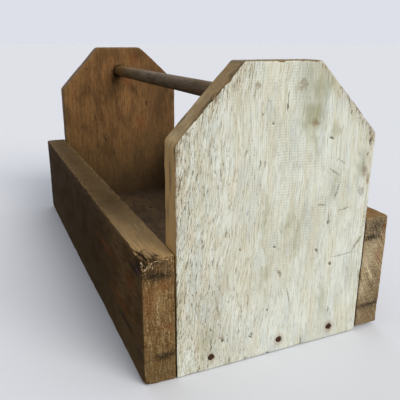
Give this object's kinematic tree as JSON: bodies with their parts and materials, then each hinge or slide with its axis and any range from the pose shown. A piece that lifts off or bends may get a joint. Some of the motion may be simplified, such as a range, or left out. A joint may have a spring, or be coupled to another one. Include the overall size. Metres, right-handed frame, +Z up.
{
  "type": "tool tote",
  "caption": "Open wooden tool tote of nailed boards: shallow tray, two tall end boards with cut corners, and a round handle bar that turns in blind sockets.",
  "frame": {"origin": "on the ground under the middle of the tote's outer box", "axes": "+Z up; +Y along the handle, from the painted end towards the bare end; +X to the right of someone facing the painted end"},
  "size_m": [0.1786, 0.376, 0.1915],
  "materials": {
    "painted_board": "old cream white paint worn back to the grain on the outer face, bare brown wood on the edges and the inner face",
    "end_board_wood": "bare, handled brown",
    "side_board_wood": "bare, weathered, dark iron stains at the nails",
    "floor_wood": "bare, dirty grey brown",
    "handle_wood": "bare, hand polished grey brown",
    "nail_steel": "rusted"
  },
  "bodies": {
    "box": {"painted_end_board": "painted_board", "bare_end_board": "end_board_wood", "left_side_board": "side_board_wood", "right_side_board": "side_board_wood", "floor_board": "floor_wood", "painted_end_floor_nails": "nail_steel", "bare_end_floor_nails": "nail_steel", "painted_left_corner_nails": "nail_steel", "painted_right_corner_nails": "nail_steel", "bare_left_corner_nails": "nail_steel", "bare_right_corner_nails": "nail_steel", "left_floor_nails": "nail_steel", "right_floor_nails": "nail_steel"},
    "handle": {"handle_dowel": "handle_wood"}
  },
  "joints": [
    {"name": "handle_turn", "type": "hinge", "parent": "box", "child": "handle", "pos_m": [-0.0012, 0, 0.1645], "axis": [0, 1, 0], "continuous": true}
  ]
}
